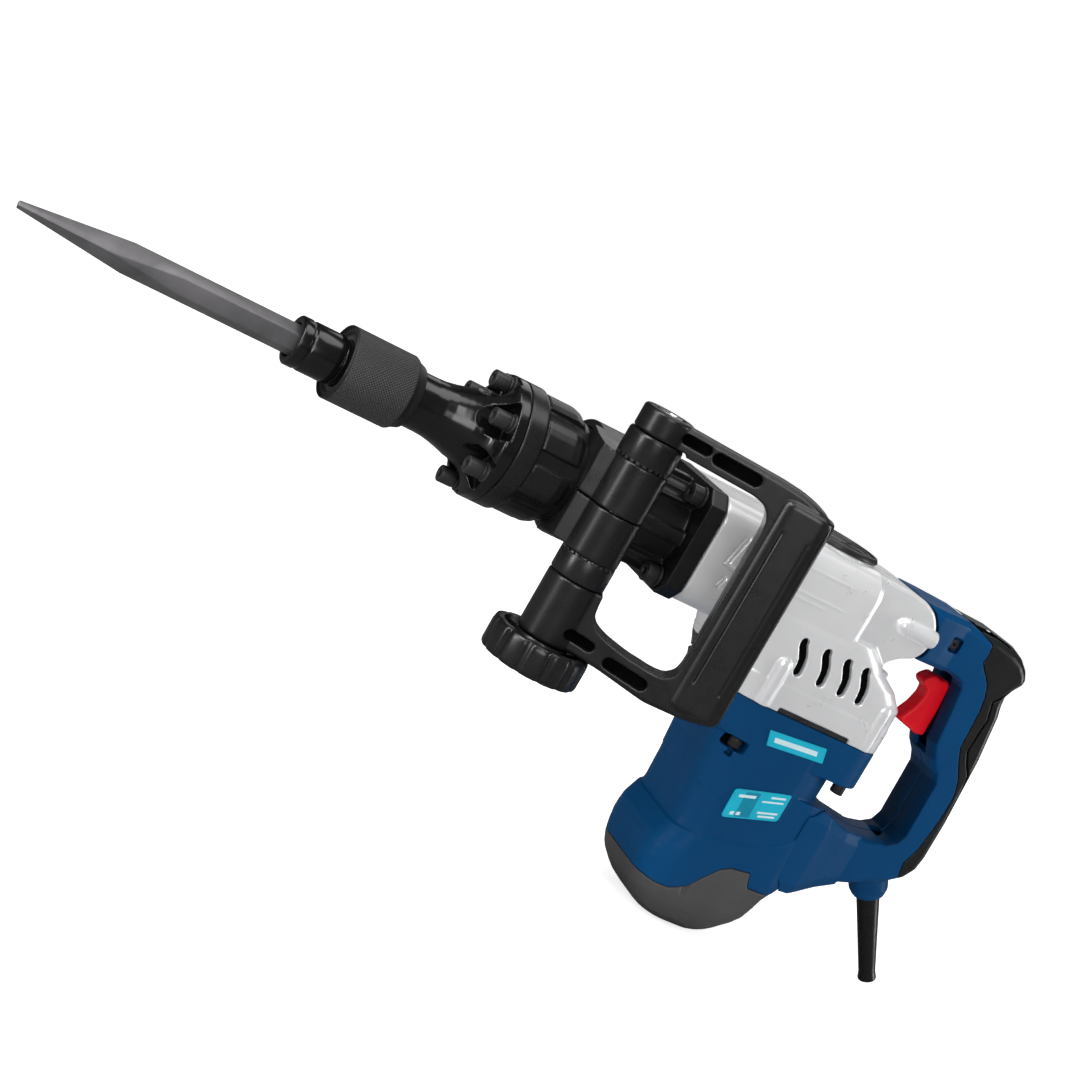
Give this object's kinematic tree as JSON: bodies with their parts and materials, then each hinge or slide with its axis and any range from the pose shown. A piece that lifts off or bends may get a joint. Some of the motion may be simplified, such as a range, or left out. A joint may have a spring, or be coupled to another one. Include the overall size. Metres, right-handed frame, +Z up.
{
  "type": "electric jackhammer",
  "caption": "Electric jackhammer with a pointed chisel, keyed sliding retainer, swinging D side handle, cast hammer case, crank drive, upright motor and rear trigger grip.",
  "frame": {"origin": "centre of the motor end cap's flat foot, on the motor axis", "axes": "+X from the chisel tip back to the rear grip along the hammer axis, +Y to the tool's right, +Z up along the motor axis"},
  "size_m": [0.7636, 0.1477, 0.2992],
  "materials": {
    "black_cast": "satin",
    "black_gloss": "gloss",
    "black_oxide": "satin",
    "black_plastic": "matte",
    "black_rubber": "matte",
    "blue_plastic": "satin",
    "brass": "satin",
    "carbon": "matte",
    "cast_aluminium": "satin",
    "copper": "satin",
    "graphite_plastic": "matte",
    "ground_steel": "polished",
    "red_plastic": "gloss",
    "tool_steel": "satin"
  },
  "bodies": {
    "housing": {"hammer_case": "black_cast", "front_cover": "black_gloss", "tool_bushing": "ground_steel", "nose_cap": "black_gloss", "retainer_roller": "ground_steel", "front_bolt_1": "black_oxide", "front_bolt_2": "black_oxide", "front_bolt_3": "black_oxide", "front_bolt_4": "black_oxide", "front_bolt_5": "black_oxide", "front_bolt_6": "black_oxide", "case_bolt_1": "black_oxide", "case_bolt_2": "black_oxide", "case_bolt_3": "black_oxide", "case_bolt_4": "black_oxide", "cylinder_liner": "ground_steel", "impact_damper": "black_rubber", "gear_housing": "cast_aluminium", "crank_cover": "black_plastic", "bearing_plate": "cast_aluminium", "crank_bearing": "ground_steel", "upper_bearing": "ground_steel", "lower_bearing": "ground_steel", "field_stator": "tool_steel", "brush_holder_left": "brass", "brush_holder_right": "brass", "carbon_brush_left": "carbon", "carbon_brush_right": "carbon", "motor_housing": "blue_plastic", "tail_cover": "graphite_plastic", "motor_bolt_1": "black_oxide", "motor_bolt_2": "black_oxide", "motor_bolt_3": "black_oxide", "motor_bolt_4": "black_oxide", "rear_handle_left": "blue_plastic", "rear_handle_right": "blue_plastic", "rear_grip_pad": "black_rubber", "switch_unit": "black_plastic", "handle_screw_1": "black_oxide", "cord_guard": "black_rubber", "power_cord": "black_rubber", "retainer_spring": "ground_steel"},
    "chisel": {"chisel": "tool_steel"},
    "sleeve": {"retainer_sleeve": "black_oxide"},
    "anvil": {"impact_bolt": "ground_steel"},
    "striker": {"striker": "ground_steel"},
    "piston": {"piston": "cast_aluminium", "wrist_pin": "ground_steel"},
    "con_rod": {"connecting_rod": "tool_steel", "crank_pin": "ground_steel"},
    "rotor": {"armature": "copper", "cooling_fan": "black_plastic"},
    "crank": {"crank_gear": "tool_steel"},
    "trigger": {"trigger": "red_plastic"},
    "clamp": {"handle_clamp": "black_cast"},
    "side_handle": {"side_handle": "black_cast", "toothed_ring": "black_gloss", "clamp_collar": "black_cast", "clamp_bolt": "ground_steel"},
    "knob": {"clamp_knob": "black_cast"}
  },
  "joints": [
    {"name": "chisel_slide", "type": "slide", "parent": "housing", "child": "chisel", "axis": [1, 0, 0], "range_m": [0, 0.01]},
    {"name": "sleeve_slide", "type": "slide", "parent": "housing", "child": "sleeve", "axis": [1, 0, 0], "range_m": [0, 0.008], "deforming": ["retainer_spring"]},
    {"name": "anvil_slide", "type": "slide", "parent": "housing", "child": "anvil", "axis": [1, 0, 0], "range_m": [0, 0.006]},
    {"name": "striker_slide", "type": "slide", "parent": "housing", "child": "striker", "axis": [1, 0, 0], "range_m": [-0.018, 0.01]},
    {"name": "piston_slide", "type": "slide", "parent": "housing", "child": "piston", "axis": [1, 0, 0], "range_m": [0, 0.032]},
    {"name": "rod_swing", "type": "hinge", "parent": "piston", "child": "con_rod", "pos_m": [-0.128, 0, 0.232], "axis": [0, 0, 1], "range_deg": [-12, 12]},
    {"name": "rotor_spin", "type": "hinge", "parent": "housing", "child": "rotor", "pos_m": [0, 0, 0.112], "axis": [0, 0, 1], "continuous": true},
    {"name": "crank_spin", "type": "hinge", "parent": "housing", "child": "crank", "pos_m": [-0.034, 0, 0.215], "axis": [0, 0, 1], "continuous": true},
    {"name": "trigger_pull", "type": "hinge", "parent": "housing", "child": "trigger", "pos_m": [0.094, 0, 0.22], "axis": [0, -1, 0], "range_deg": [0, 7]},
    {"name": "clamp_turn", "type": "hinge", "parent": "housing", "child": "clamp", "pos_m": [-0.203, 0, 0.232], "axis": [-1, 0, 0], "range_deg": [-20, 180]},
    {"name": "handle_swing", "type": "hinge", "parent": "clamp", "child": "side_handle", "pos_m": [-0.203, -0.047, 0.232], "axis": [0, 0, -1], "range_deg": [-5, 100]},
    {"name": "knob_turn", "type": "hinge", "parent": "side_handle", "child": "knob", "pos_m": [-0.203, -0.047, 0.133], "axis": [0, 0, 1], "continuous": true}
  ],
  "couplings": [
    {"joint": "crank_spin", "follows": "rotor_spin", "ratio": -0.25}
  ]
}
